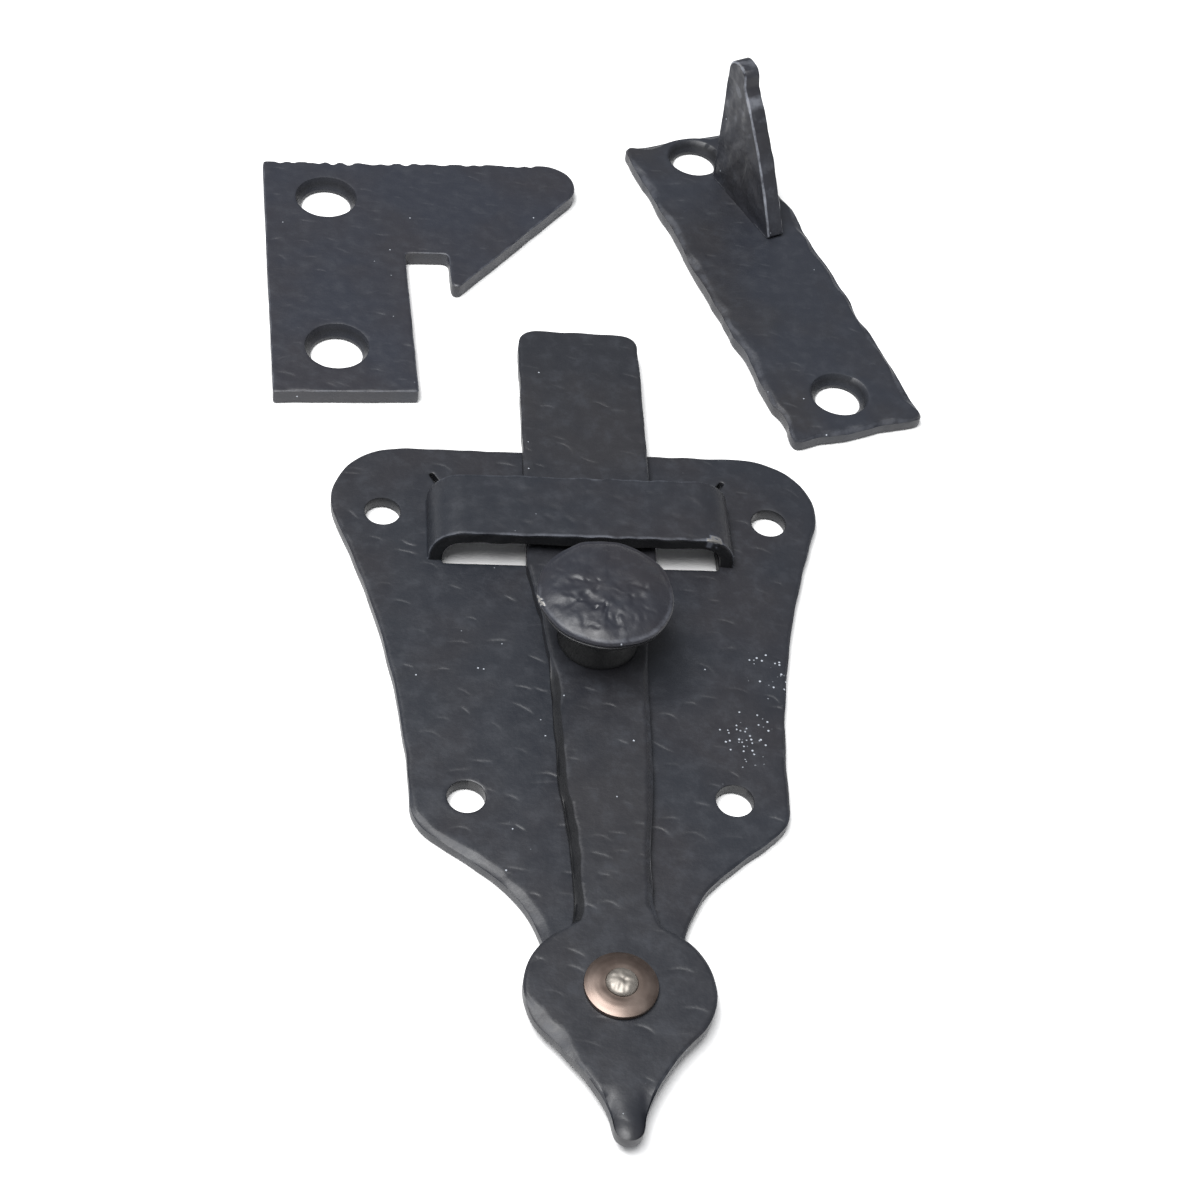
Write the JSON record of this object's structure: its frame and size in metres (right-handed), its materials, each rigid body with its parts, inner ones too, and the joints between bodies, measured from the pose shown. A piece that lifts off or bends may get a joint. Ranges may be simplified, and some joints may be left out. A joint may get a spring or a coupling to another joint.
{
  "type": "toggle bolt latch",
  "caption": "Hammered iron toggle latch: shaped backplate with a strap, a swinging bar with a round knob and pointed finial, and loose hook and fin catches.",
  "frame": {"origin": "midway between the two upper screw holes, on the backplate's back plane", "axes": "+Z out of the door face, +Y from the pivot towards the bar's head"},
  "size_m": [0.0924, 0.1741, 0.0234],
  "materials": {
    "plate_iron": "satin",
    "bar_iron": "satin",
    "knob_iron": "satin",
    "catch_iron": "satin",
    "blade_iron": "satin",
    "rivet_metal": "satin",
    "washer_metal": "satin"
  },
  "bodies": {
    "plate": {"backplate": "plate_iron", "pivot_rivet": "rivet_metal", "dished_washer": "washer_metal"},
    "bar": {"latch_bar": "bar_iron", "knob": "knob_iron"},
    "hook": {"hook_catch": "catch_iron"},
    "fin": {"fin_base": "catch_iron", "fin_blade": "blade_iron"}
  },
  "joints": [
    {"name": "bar_pivot", "type": "hinge", "parent": "plate", "child": "bar", "pos_m": [0, -0.0725, 0.0028], "axis": [0, 0, 1], "range_deg": [-6.1, 7.4]},
    {"name": "hook_lift", "type": "slide", "parent": "plate", "child": "hook", "axis": [0, 0, 1], "range_m": [0, 0.05]},
    {"name": "fin_lift", "type": "slide", "parent": "plate", "child": "fin", "axis": [0, 0, 1], "range_m": [0, 0.05]}
  ]
}
